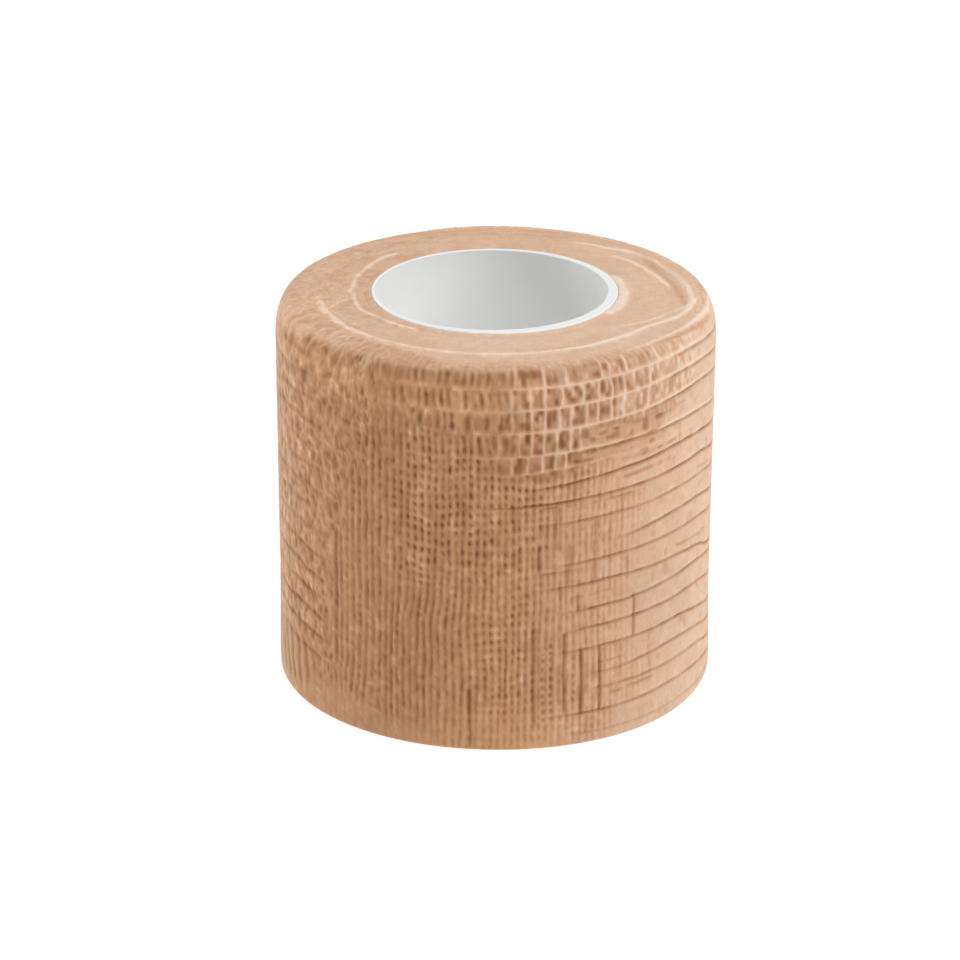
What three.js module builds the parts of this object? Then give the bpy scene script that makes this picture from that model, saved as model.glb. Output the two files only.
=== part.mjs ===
// A cohesive crepe bandage, wound on a plastic core and standing on its end.
// Millimetres, +Z up. The origin is the middle of the base.
// An azimuth is in degrees from the front (-Y) towards the right (+X).

import * as THREE from 'three';

const ROLL_RADIUS = 27.5; // mean radius over the outermost turn
const STRIP_WIDTH = 50; // cut width of the bandage
const STRIP_THICKNESS = 0.5; // one crinkled layer
const STRIP_END_AZIMUTH = 200; // the pressed-down end of the strip, at the back
const STRIP_END_SPAN = 1; // degrees that the step at the strip's end takes

const CORE_RADIUS = 15.4;
const CORE_WALL = 0.9;
const CORE_LENGTH = 50.5;
const CORE_CHAMFER = 0.2;
const PIECE_GAP = 0.3; // between the core and the first turn

const SHOULDER = { sag: 0.15, radial: 1.9, axial: 4.5, steps: 6 }; // rounded upper edge
const FOOT = { radial: 1.2, axial: 0.5, steps: 3 }; // small rounding of the lower edge
const FACE_RISE = 0.1; // the upper end face stands over the strip's nominal width
const CREST = { rise: 0.3, innerReach: 0.6, outerReach: 0.9 }; // raised turn edge on the end face
const SPREAD_REACH = 14; // height over which the foot's spread dies away
const WALL_HEIGHTS = [5, 10, 18, 30, 40];

const WINDING_STEPS = 120;
const CORE_SEGMENTS = 96;

// Where the raised turn edge lies, and how far the foot of the wall is pushed out, round the roll
const UNEVENNESS = [
  { azimuth: -180, crestRadius: 22.2, footSpread: 0.0 },
  { azimuth: -110, crestRadius: 22.1, footSpread: 0.1 },
  { azimuth: -60, crestRadius: 22.0, footSpread: 0.25 },
  { azimuth: -5, crestRadius: 21.6, footSpread: -0.05 },
  { azimuth: 50, crestRadius: 21.8, footSpread: 0.5 },
  { azimuth: 80, crestRadius: 24.6, footSpread: 0.3 },
  { azimuth: 115, crestRadius: 23.4, footSpread: 0.1 },
];

const SKIN_TONE = new THREE.Color(0xc69a76);
const WHITE_PLASTIC = new THREE.Color(0xe6e4e0);

// One column of the table above, eased from row to row all the way round
function unevenAt(azimuth, column) {
  const first = UNEVENNESS[0];
  const angle = first.azimuth + THREE.MathUtils.euclideanModulo(azimuth - first.azimuth, 360);
  const rows = [...UNEVENNESS, { ...first, azimuth: first.azimuth + 360 }];
  const next = rows.findIndex((row) => row.azimuth > angle);
  const before = rows[next - 1];
  const after = rows[next];
  const part = THREE.MathUtils.smoothstep(angle, before.azimuth, after.azimuth);
  return THREE.MathUtils.lerp(before[column], after[column], part);
}

// Points on a quarter of an ellipse, from one angle in quarter turns to the next
function quarterArc(centreRadius, centreHeight, corner, startQuarter) {
  return Array.from({ length: corner.steps + 1 }, (_, step) => {
    const angle = (startQuarter + step / corner.steps) * (Math.PI / 2);
    return [
      centreRadius + corner.radial * Math.cos(angle),
      centreHeight + corner.axial * Math.sin(angle),
    ];
  });
}

// Outline of the wound strip in one half plane through the axis, as [radius, height] pairs.
// It runs along the base, up the wall, over the shoulder and back across the end face.
function windingOutline(turnRadius, azimuth) {
  const spread = unevenAt(azimuth, 'footSpread');
  const crest = unevenAt(azimuth, 'crestRadius');
  const innerRadius = CORE_RADIUS + PIECE_GAP;
  const shoulderTop = STRIP_WIDTH - SHOULDER.sag;
  const faceHeight = STRIP_WIDTH + FACE_RISE;
  const wall = WALL_HEIGHTS.map((height) => {
    const left = 1 - THREE.MathUtils.smoothstep(height, 0, SPREAD_REACH);
    return [turnRadius + spread * left, height];
  });
  return [
    [innerRadius, 0],
    ...quarterArc(turnRadius + spread - FOOT.radial, FOOT.axial, FOOT, -1),
    ...wall,
    ...quarterArc(turnRadius - SHOULDER.radial, shoulderTop - SHOULDER.axial, SHOULDER, 0),
    [crest + CREST.outerReach, faceHeight],
    [crest, STRIP_WIDTH + CREST.rise],
    [crest - CREST.innerReach, faceHeight],
    [innerRadius, faceHeight],
  ];
}

// Joins rings of points, all of one length, into one closed body that bends round on itself
function closedBody(rings) {
  const perRing = rings[0].length;
  const positions = rings.flat(2);
  const indices = [];
  rings.forEach((_, ring) => {
    const here = ring * perRing;
    const there = ((ring + 1) % rings.length) * perRing;
    for (let point = 0; point < perRing; point += 1) {
      const next = (point + 1) % perRing;
      indices.push(here + point, there + point, there + next);
      indices.push(here + point, there + next, here + next);
    }
  });
  const geometry = new THREE.BufferGeometry();
  geometry.setAttribute('position', new THREE.Float32BufferAttribute(positions, 3));
  geometry.setIndex(indices);
  geometry.computeVertexNormals();
  return geometry;
}

// The wound strip. Its radius grows by one layer in a turn and drops at the strip's end.
function windingGeometry() {
  const rings = Array.from({ length: WINDING_STEPS + 1 }, (_, step) => {
    const turned = step / WINDING_STEPS;
    const azimuth = STRIP_END_AZIMUTH + STRIP_END_SPAN + turned * (360 - STRIP_END_SPAN);
    const angle = THREE.MathUtils.degToRad(azimuth);
    const turnRadius = ROLL_RADIUS + STRIP_THICKNESS * (turned - 0.5);
    return windingOutline(turnRadius, azimuth).map(([radius, height]) => [
      radius * Math.sin(angle),
      -radius * Math.cos(angle),
      height,
    ]);
  });
  return closedBody(rings);
}

// The tube that the strip is wound on, open right through, with broken edges
function coreGeometry() {
  const outer = CORE_RADIUS;
  const inner = CORE_RADIUS - CORE_WALL;
  const profile = [
    new THREE.Vector2(inner + CORE_CHAMFER, 0),
    new THREE.Vector2(outer - CORE_CHAMFER, 0),
    new THREE.Vector2(outer, CORE_CHAMFER),
    new THREE.Vector2(outer, CORE_LENGTH - CORE_CHAMFER),
    new THREE.Vector2(outer - CORE_CHAMFER, CORE_LENGTH),
    new THREE.Vector2(inner + CORE_CHAMFER, CORE_LENGTH),
    new THREE.Vector2(inner, CORE_LENGTH - CORE_CHAMFER),
    new THREE.Vector2(inner, CORE_CHAMFER),
    new THREE.Vector2(inner + CORE_CHAMFER, 0),
  ];
  const geometry = new THREE.LatheGeometry(profile, CORE_SEGMENTS);
  geometry.rotateX(Math.PI / 2);
  return geometry;
}

const winding = new THREE.Mesh(
  windingGeometry(),
  new THREE.MeshStandardMaterial({ color: SKIN_TONE, roughness: 0.9, metalness: 0 }),
);
winding.name = 'bandage_roll';

const core = new THREE.Mesh(
  coreGeometry(),
  new THREE.MeshStandardMaterial({ color: WHITE_PLASTIC, roughness: 0.4, metalness: 0 }),
);
core.name = 'core';

const roll = new THREE.Group();
roll.add(winding, core);

// The spiral is a little off centre, so the roll is moved until its box stands over the origin
const middle = new THREE.Box3().setFromObject(roll).getCenter(new THREE.Vector3());
roll.position.set(-middle.x, -middle.y, 0);

export default roll;
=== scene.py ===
# Cohesive crepe bandage wound on a plastic core, standing on its end.
# Shapes are worked out in millimetres and turned to metres when a mesh is made.
# An azimuth is in degrees from the front (-Y) towards the right (+X).
import math

import bpy
import numpy as np
from mathutils import Euler, Matrix, Vector


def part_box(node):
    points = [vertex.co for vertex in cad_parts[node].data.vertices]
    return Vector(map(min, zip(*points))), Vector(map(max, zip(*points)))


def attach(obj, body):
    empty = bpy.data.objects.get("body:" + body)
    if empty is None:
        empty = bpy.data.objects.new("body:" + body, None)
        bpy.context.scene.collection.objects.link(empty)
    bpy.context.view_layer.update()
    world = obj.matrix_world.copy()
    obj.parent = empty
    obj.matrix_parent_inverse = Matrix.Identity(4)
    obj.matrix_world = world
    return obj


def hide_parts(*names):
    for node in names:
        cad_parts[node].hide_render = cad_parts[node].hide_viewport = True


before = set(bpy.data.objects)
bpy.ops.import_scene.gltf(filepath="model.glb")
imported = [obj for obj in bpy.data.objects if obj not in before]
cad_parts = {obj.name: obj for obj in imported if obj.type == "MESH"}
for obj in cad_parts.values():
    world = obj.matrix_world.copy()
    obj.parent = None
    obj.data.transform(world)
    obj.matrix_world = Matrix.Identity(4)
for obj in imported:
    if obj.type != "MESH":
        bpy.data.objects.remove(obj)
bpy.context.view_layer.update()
mm = 0.001

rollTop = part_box("bandage_roll")[1][2] / mm
coreLow, coreHigh = (np.array(corner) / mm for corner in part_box("core"))
coreRadius = (coreHigh[0] - coreLow[0]) / 2
axisPlace = (coreLow + coreHigh) / 2  # the spiral is a little off centre, the core shows its axis

roll = {
    "radius": 27.5,  # mean radius over the outermost turn
    "layer": 0.5,  # one crinkled layer, so the radius grows by this in a turn
    "endAzimuth": 200,  # where the strip's end is pressed down, at the back
    "endPressed": 12,  # degrees over which it thins out
    "endStep": 0.2,
    "shoulderRadial": 1.9,
    "shoulderAxial": 4.5,
    "shoulderSag": 0.15,
    "footRadial": 1.2,
    "footAxial": 0.5,
    "faceRise": 0.1,
    "crestRise": 0.3,  # of the raised turn edge over the strip's width
    "crestInner": 0.6,
    "crestOuter": 0.9,
    "spreadReach": 14,
}
roll["width"] = rollTop - roll["crestRise"]
degree = math.radians(1) * roll["radius"]  # mm round the roll in one degree
hairGap = 0.002  # mm, rows and pieces this close meet in a sharp joint that doesn't show
hiddenTone = 0.8  # how high and how pale the cloth counts where it hardly shows


def table(columns, *rows):  # one dictionary for each row of values
    return [dict(zip(columns.split(), row)) for row in rows]


# Where the raised turn edge lies, and how far the foot is pushed out, round the roll
unevenness = table(
    "azimuth crestRadius footSpread",
    (-180, 22.2, 0),
    (-110, 22.1, 0.1),
    (-60, 22, 0.25),
    (-5, 21.6, -0.05),
    (50, 21.8, 0.5),
    (80, 24.6, 0.3),
    (115, 23.4, 0.1),
)


def hexColour(code):  # sRGB hex to the linear values that the shaders take
    channels = [int(code[place:place + 2], 16) / 255 for place in (0, 2, 4)]
    linear = [c / 12.92 if c <= 0.04045 else ((c + 0.055) / 1.055) ** 2.4 for c in channels]
    return (*linear, 1)


def ease(value, start, end):  # 0 before start, 1 after end, smooth between; start may be the larger
    part = np.clip((value - start) / (end - start), 0, 1)
    return part * part * (3 - 2 * part)


def window(value, low, high, soft):  # 1 between low and high, with soft borders
    return ease(value, low - soft, low + soft) * ease(value, high + soft, high - soft)


def blend(value, other, part):  # goes from value to other as part goes from 0 to 1
    return value + (other - value) * part


def bell(distance, width):
    return np.exp(-(distance / width) ** 2)


def wave(phase, sharp=1.0):  # 1 at whole numbers and 0 half way between them
    return (0.5 + 0.5 * np.cos(2 * np.pi * phase)) ** sharp


def noise(x, y, seed):  # soft hills from -1 to 1, about one to each unit of x and y
    size = 512
    heights = np.random.default_rng(seed).uniform(-1, 1, (size, size))
    x0 = np.floor(x).astype(int)
    y0 = np.floor(y).astype(int)
    fx = ease(x - x0, 0, 1)
    fy = ease(y - y0, 0, 1)
    low, high = (heights[x0 % size, row % size] * (1 - fx) + heights[(x0 + 1) % size, row % size] * fx
                 for row in (y0, y0 + 1))
    return low * (1 - fy) + high * fy


def pits(x, y, seed):  # from 0 to 1: about one pit to each unit of x and y, pushed about, of its own depth
    size = 256
    chance = np.random.default_rng(seed)
    push = chance.uniform(-0.4, 0.4, (size, size, 2))
    deep = chance.uniform(0.35, 1, (size, size))
    x0 = np.round(x).astype(int)
    y0 = np.round(y).astype(int)
    pit = np.zeros_like(x)
    for i in (-1, 0, 1):
        for j in (-1, 0, 1):
            column = (x0 + i) % size
            row = (y0 + j) % size
            aside = x - x0 - i - push[column, row, 0]
            above = y - y0 - j - push[column, row, 1]
            pit = np.maximum(pit, deep[column, row] * bell(aside, 0.26) * bell(above, 0.42))
    return pit


def unevenAt(azimuth, column):  # one column of the table above, eased from row to row
    first = unevenness[0]
    angle = first["azimuth"] + (np.asarray(azimuth, float) - first["azimuth"]) % 360
    rows = unevenness + [{**first, "azimuth": first["azimuth"] + 360}]
    value = np.zeros_like(angle)
    for row, after in zip(rows, rows[1:]):
        inside = (angle >= row["azimuth"]) & (angle <= after["azimuth"])
        part = ease(angle, row["azimuth"], after["azimuth"])
        value = np.where(inside, blend(row[column], after[column], part), value)
    return value


# Camera. Its place, tilt and focal length come from fitting the photographed outline.
camera = {
    "distance": 404.5,  # in front of the roll's axis
    "height": 197.86,
    "pitchDown": 23.179,
    "turn": 0.25,
    "lean": 0.185,
    "focalPixels": 3451.6,
    "framePixels": 960,
    "sensor": 36,
}


def makeCamera():
    data = bpy.data.cameras.new("photo_camera")
    data.sensor_width = camera["sensor"]
    data.lens = camera["focalPixels"] / camera["framePixels"] * camera["sensor"]
    data.clip_start = 0.01
    data.clip_end = 20.0
    eye = bpy.data.objects.new("photo_camera", data)
    tilt = Euler((math.radians(90 - camera["pitchDown"]), 0, math.radians(camera["turn"])))
    place = (axisPlace[0] * mm, (axisPlace[1] - camera["distance"]) * mm, camera["height"] * mm)
    lean = Matrix.Rotation(math.radians(camera["lean"]), 4, "Z")
    eye.matrix_world = Matrix.Translation(place) @ tilt.to_matrix().to_4x4() @ lean
    bpy.context.scene.collection.objects.link(eye)
    bpy.context.scene.camera = eye
    print("camera set")


# Studio. Big soft lights on both sides and over the roll, a dim room and a white table.
lights = table(
    "name azimuth elevation distance size watts",
    ("key_right", 73, 34, 700, 480, 1.58),
    ("front_right", 50, 53, 700, 300, 0.95),
    ("fill_left", -106, 11, 700, 450, 1.8),
    ("top", 165, 72, 700, 500, 1.97),
)
studio = {
    "floorSize": 8000,
    "floorColour": "707070",
    "floorGlow": 0.93,
    "roomColour": "FFFFFF",
    "roomGlow": 0.22,
    "floorDrop": 0.02,  # mm under the roll, so that the two don't share a plane
}


def addNode(tree, kind, settings=None, links=None):  # one node, its settings and what feeds it
    node = tree.nodes.new("ShaderNode" + kind)
    for key, value in (settings or {}).items():
        if hasattr(node, key):
            setattr(node, key, value)
        else:
            node.inputs[key].default_value = value
    for key, source in (links or {}).items():
        tree.links.new(source, node.inputs[key])
    return node


def newMaterial(name):
    material = bpy.data.materials.new(name)
    material.use_nodes = True
    material.node_tree.nodes.clear()
    return material, material.node_tree


def makeStudio():
    middle = Vector((0, 0, roll["width"] / 2 * mm))
    for light in lights:
        data = bpy.data.lights.new(light["name"], "AREA")
        data.shape = "DISK"
        data.size = light["size"] * mm
        data.energy = light["watts"]
        lamp = bpy.data.objects.new(light["name"], data)
        around = math.radians(light["azimuth"])
        up = math.radians(light["elevation"])
        away = Vector((math.sin(around) * math.cos(up), -math.cos(around) * math.cos(up), math.sin(up)))
        lamp.location = middle + away * light["distance"] * mm
        lamp.rotation_euler = away.to_track_quat("Z", "Y").to_euler()
        lamp.visible_camera = False
        bpy.context.scene.collection.objects.link(lamp)

    world = bpy.data.worlds.new("room")
    world.use_nodes = True
    background = world.node_tree.nodes["Background"]
    background.inputs["Color"].default_value = hexColour(studio["roomColour"])
    background.inputs["Strength"].default_value = studio["roomGlow"]
    bpy.context.scene.world = world
    bpy.context.scene.view_settings.view_transform = "Standard"

    half = studio["floorSize"] / 2 * mm
    mesh = bpy.data.meshes.new("floor")
    corners = [(-half, -half, 0), (half, -half, 0), (half, half, 0), (-half, half, 0)]
    mesh.from_pydata(corners, [], [(0, 1, 2, 3)])
    floor = bpy.data.objects.new("floor", mesh)
    floor.location.z = -studio["floorDrop"] * mm
    mesh.materials.append(makeLitAcrylic())
    bpy.context.scene.collection.objects.link(floor)
    print("studio set")


def makeLitAcrylic():  # opal acrylic table lit from below, as used for packs on white: almost no shadow
    material, tree = newMaterial("opal_acrylic_table")
    shader = addNode(tree, "BsdfPrincipled", {
        "Base Color": hexColour(studio["floorColour"]),
        "Roughness": 0.9,
        "Specular IOR Level": 0.2,
        "Emission Color": hexColour("FFFFFF"),
        "Emission Strength": studio["floorGlow"],
    })
    addNode(tree, "OutputMaterial", None, {"Surface": shader.outputs[0]})
    return material


# The crepe of the outer turns. Ribs run up the wall, elastic threads run round it.
crepe = {
    "ribs": 194,  # round the roll
    "ribGaps": [(-160, 0.88), (-70, 0.92), (-45, 1.03), (-36, 1), (-20, 0.9), (0, 0.84),
                (30, 0.84), (60, 0.88), (200, 0.88)],  # azimuth, mm from rib to rib there
    "columnsPerRib": 5,
    "depth": 0.32,  # from the top of a rib to the floor of a cell
    "middle": 0.65,  # the part of the depth that lies within the roll's own radius
    "bridgePitch": 1.2,  # short bridges across the gaps between ribs
    "pitGaps": [(-150, 1.2), (-112, 1.3), (-93, 1.9), (-62, 2), (-51, 1.6), (-45, 1.4), (-38, 1.25),
                (-20, 1.1), (120, 1.1), (160, 1.2)],  # azimuth, mm from pit to pit of the crinkled part
    "pitTall": 1.65,
    "threadWidth": 0.28,
    "threadWander": 0.06,
    "grooveWidth": 0.17,
    "grooveDark": 0.77,  # this and the next four: how far each goes down towards a cell's floor, which also darkens it as painted shade
    "gapDark": 0.62,
    "netDark": 0.92,
    "pitDark": 0.68,
    "foldDark": 0.8,
    "smoothTone": 0.87,  # how high the stretched cloth lies between its grooves
    "crinkleDepth": 0.62,  # part of the full depth
    "broadWaver": 0.2,  # mm, of the ribs, over many and one by one
    "ribWaver": 0.11,
    "gridThread": 0.92,  # how strong the crosswise threads of the open grid are
    "endInset": 0.5,  # a cut's end faces go this far in under the skin
    "cuts": [-44, 80],  # the wall is made as three pieces, parted at a crease and at the right edge
}


countAzimuths = np.linspace(roll["endAzimuth"] - 360, roll["endAzimuth"], 3601)  # each tenth of a degree


def counted(key):  # how many ribs or pits have passed at each tenth of a degree
    places, gaps = zip(*crepe[key])
    return np.append(0, np.cumsum(0.1 * degree / np.interp(countAzimuths[1:], places, gaps)))


countedPits = counted("pitGaps")
countedRibs = counted("ribGaps")
countedRibs = countedRibs * crepe["ribs"] / countedRibs[-1]

# Height of each elastic thread over the foot at the stations. ridge: how far it stands up as a light
# line in the open grid. groove: how deep the line under it is on the right, from the azimuth "from" on,
# which also darkens it as painted shade. fold: depth of the soft folds on the left, darkened as painted
# shade, with a painted highlight above.
stations = (-64, -48, 5, 30, 55, 68, 80)  # left, almost front, front, quarter, right, limb, side
threads = table(
    "left front quarter right limb side ridge groove from fold",
    (2.6, 1.8, 1.7, 1.8, 1.6, 1.4, 0, 0.25, 18, 0),
    (5.8, 4.4, 4.5, 4.8, 4.3, 3.2, 0, 0.7, 14, 0),
    (8.6, 7.4, 7.5, 7.5, 7.2, 5.2, 0, 0.6, 25, 0.5),
    (11.3, 10, 9.5, 10.35, 9.4, 7.8, 0, 0.7, 24, 1),
    (14.1, 12.8, 13.1, 13.15, 12.1, 10.3, 0, 0.95, 18, 1),
    (16.9, 15.4, 16, 16, 15.7, 13.9, 0, 0.9, 20, 0.8),
    (19.6, 18.2, 18.5, 18.85, 18.7, 17.2, 0, 0.9, 18, 0.7),
    (22.4, 21.4, 22, 21.6, 20.7, 18.4, 0, 0.85, 11, 0.6),
    (25.2, 24.4, 24.95, 25, 24.7, 23.2, 0, 0.7, 16, 0.3),
    (28.1, 27.1, 26.9, 27.85, 27.5, 25.8, 0, 0.9, 33, 0.35),
    (30.8, 30.1, 30.4, 30.7, 30.5, 29.2, 0, 0.7, 9, 0.35),
    (33.5, 32.7, 33.3, 33.5, 33.3, 31.8, 0, 1, -1, 0.35),
    (36.3, 34.6, 35.9, 36.65, 36.15, 35, 0, 1, 8, 0.35),
    (37.8, 36.9, 38, 38.1, 37.8, 37, 0.6, 0, 60, 0),
    (39.2, 39.2, 39.85, 39.9, 39.5, 38.3, 0.9, 0.8, 27, 0.35),
    (42, 42.3, 42.7, 43.5, 43.45, 42.4, 1, 0.8, 43, 0.35),
    (45, 45.1, 45.6, 46.3, 46, 45.1, 1, 0.8, 48, 0.35),
    (47.6, 47.8, 48.05, 48.45, 48.15, 47.4, 1, 0.75, 50, 0.25),
)

# The light crosswise threads of the open grid: azimuths, in each row over the thread of that number
gridRows = table(
    "over azimuths",
    (17, (5.2, 12.5, 18.5, 28, 30.5, 35.5, 46.5)),
    (16, (-21, -14, -8, -2, 4.3, 9, 12.5, 17, 22.5, 27, 30.5, 34.3, 42.8, 54)),
    (15, (-9.4, -4, 4.5, 9.3, 12.7, 16.3, 19.3, 23.5, 26.5, 30.4, 34, 42, 55.5)),
    (14, (-5, 1, 6.3, 9.3, 12.4, 15.6, 19.1, 22, 40.5, 53)),
    (13, (4.3, 8.3, 12, 15.4, 18, 40)),
)

# Short grooves beside the long ones, darkened as painted shade. broken: how far they are broken into dashes.
shortGrooves = table(
    "from to heightFrom heightTo depth broken",
    (12, 45, 32.4, 32.6, 0.6, 0.9),
    (12, 27, 23.8, 23.9, 0.5, 0.6),
    (55, 73, 22.8, 21.8, 0.5, 0.3),
    (65, 76, 31.5, 30.5, 0.35, 0.2),
    (26, 45, 39.2, 39.8, 0.8, 0.6),
    (18, 30, 38, 38.2, 0.7, 0.9),
    (27, 44, 41.2, 41.9, 0.8, 0.9),
    (44, 58, 41.2, 42, 0.7, 0.6),
    (34, 51, 34.9, 35.3, 0.7, 0.7),
    (40, 53, 37.2, 37.4, 0.6, 0.8),
    (36, 45, 6.6, 6.8, 0.5, 0.5),
    (31, 35, 6.5, 6.5, 0.7, 0.2),
    (24, 36, 10.9, 11, 0.35, 0.8),
    (22, 38, 29.2, 29.5, 0.3, 0.9),
    (20, 36, 20.2, 20.6, 0.3, 0.9),
)

# Creases that run up the wall, darkened as painted shade. dots: how far they are broken into rows of dots.
creases = table(
    "azimuth low high depth width dots",
    (-44.5, 8.5, 26.5, 0.5, 0.28, 0.2),
    (-6, 0.8, 8.5, 0.8, 0.2, 0),
    (3, 4, 14, 0.5, 0.2, 0.8),
    (10.4, 4, 16.7, 0.7, 0.22, 0.3),
    (12.6, 4, 13, 0.9, 0.22, 1),
    (14.8, 4, 15, 0.9, 0.22, 1),
    (18.2, 4.9, 15.6, 0.95, 0.22, 0.1),
    (20.7, 5.5, 12.6, 0.6, 0.2, 1),
    (23.1, 4.3, 13.1, 1.2, 0.22, 0.1),
    (28.2, 4.6, 13, 0.95, 0.2, 0.1),
    (34.2, 6.4, 13, 0.25, 0.2, 0.4),
    (38.6, 13.2, 18.9, 0.85, 0.2, 0),
    (44.2, 6.4, 13.1, 0.35, 0.2, 0.4),
    (22, 18.1, 20.8, 0.6, 0.2, 0),
    (36, 21.2, 24.2, 0.35, 0.2, 0),
    (26.4, 22, 30.6, 0.6, 0.2, 0.3),
    (19.2, 22, 27.5, 0.5, 0.2, 0.3),
    (11.4, 24.2, 27.5, 0.9, 0.24, 0.2),
    (30.5, 24, 30.4, 0.3, 0.2, 0.4),
    (34, 28, 33.4, 0.4, 0.2, 0.3),
    (15.7, 27, 33.1, 0.5, 0.2, 0.3),
)

# Deep dents among the crinkles on the left, darkened as painted shade
dents = table(
    "azimuth height across tall depth",
    (-57, 45.2, 0.5, 1, 0.7),
    (-66, 47.6, 0.45, 0.9, 0.5),
    (-57, 36, 0.45, 0.9, 0.3),
    (-57.5, 30.5, 0.45, 0.7, 0.3),
    (-47.5, 29, 0.4, 0.7, 0.4),
    (-37, 39.9, 0.5, 0.7, 0.25),
    (-38, 42.8, 0.5, 0.9, 0.25),
)

# Areas of the wall made lighter or darker than the cloth round them. The lowest one, at the front foot, is
# painted light, for the light that the floor throws up there.
lighterAreas = table(
    "from to low high soft lighter",
    (-88, -48, 45.5, 49.6, 1.2, 0.2),
    (-48, 0, 44, 48.6, 1.2, 0.22),
    (0, 20, 45.8, 48.6, 1.2, 0.14),
    (-13, 8, 6, 26, 2, 0.1),
    (-16, 20, -3, 6, 2, 0.14),
    (34, 64, 10, 27, 5, -0.06),
)

# The upper end face: pressed cloth with faint turn lines, one raised turn edge all round and a few others
endFace = {
    "tone": 0.82,  # level of tone of the plain cloth
    "lineHeight": 0.02,
    "lineTone": 0.03,
    "crestWidth": 0.45,
    # painted highlight along the raised turn edge
    "crestHighlight": 0.23,
}

# Turn edges that stand up on it, or lie low, each along its own azimuths and radii, with a painted highlight
# on those that stand up and painted shade on the one that lies low
faceRidges = table(
    "path height width glow",
    ([(-139, 18.9), (-132, 19.1), (-120, 18.5), (-109, 18.2), (-95, 17.8), (-89, 18.1)], 0.16, 0.3, 0.16),
    ([(-88, 17.6), (-80, 17.7), (-69, 17.7), (-56, 17), (-44, 16.6), (-36, 16.4)], 0.14, 0.28, 0.14),
    ([(-82, 18.3), (-78, 19.7), (-73, 21.5)], 0.1, 0.25, 0.12),
    ([(52, 19.4), (62, 21.1), (68, 22), (75, 23.2), (81, 24.5), (86, 25.3)], 0.08, 0.25, 0.09),
    ([(60, 16), (77, 16.2), (91, 16.3), (112, 16.1)], 0.12, 0.5, 0.14),
    ([(96, 21.9), (104, 21.3), (111, 21), (123, 20.8), (132, 20.4)], 0.16, 0.32, 0.16),
    ([(80, 23.7), (91, 22.9), (104, 22.3), (112, 22.3), (122, 22.6)], -0.12, 0.35, -0.16),
    ([(128, 23), (140, 22), (150, 21.6)], 0.14, 0.35, 0.12),
)


def threadHeights(azimuth):  # one row for each thread, one column for each azimuth
    start = roll["endAzimuth"] - 360
    places = [start, *stations, 94, 140, roll["endAzimuth"]]
    span = 25  # columns that a height is averaged over
    heights = []
    for number, thread in enumerate(threads):
        left, front, quarter, right, limb, side = list(thread.values())[:6]
        lowest = side - 0.25 * (limb - side)
        back = (left + side) / 2
        values = [left - 0.3, left, front + 0.2, front, quarter, right, limb, side, lowest, back, back + 0.4]
        height = np.interp(azimuth, places, values)
        for _ in range(2):  # rounds the bends at the stations
            padded = np.pad(height, span // 2, mode="edge")
            height = np.convolve(padded, np.ones(span) / span, mode="valid")
        heights.append(height + crepe["threadWander"] * noise(azimuth / 5, number * 7.3, 21))
    return np.array(heights)


def ribAzimuths(rib, height):  # where a rib stands at a height, with its waver
    azimuth = np.interp(rib, countedRibs, countAzimuths)
    calm = 1 - 0.6 * window(azimuth, -5, 70, 6) * ease(height, 30, 40)
    broad = crepe["broadWaver"] * noise(rib / 9, height * 0.1, 31) * calm
    single = crepe["ribWaver"] * noise(rib / 1.6, height * 0.4, 32) * calm
    jog = -0.5 * window(azimuth, -26, -4, 6) * ease(height, 21, 16.5)
    lean = -0.1 * (10 - height) * window(azimuth, -41, -31, 3) * ease(height, 11, 8)
    ends = ease(rib, 0, 3) * ease(rib, crepe["ribs"], crepe["ribs"] - 3)  # both ends follow one line
    cut = 0.3 * noise(height / 3, 0, 33) * (1 - ends)
    return azimuth + ((broad + single + jog + lean) * ends + cut) / degree


def outerRadius(azimuth):  # of the outermost layer, one layer further out after a whole turn
    turned = np.clip((azimuth - roll["endAzimuth"] + 360) / 360, 0, 1)
    pressed = ease(azimuth, roll["endAzimuth"] - roll["endPressed"], roll["endAzimuth"])
    return roll["radius"] + roll["layer"] * (turned - 0.5) - (roll["layer"] - roll["endStep"]) * pressed


def wallRadius(azimuth, height):
    radius = outerRadius(azimuth)
    spread = unevenAt(azimuth, "footSpread") * (1 - ease(height, 0, roll["spreadReach"]))
    springLine = roll["width"] - roll["shoulderSag"] - roll["shoulderAxial"]
    up = np.clip((height - springLine) / roll["shoulderAxial"], 0, 1)
    return radius + spread - roll["shoulderRadial"] * (1 - np.sqrt(1 - up * up))


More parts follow.
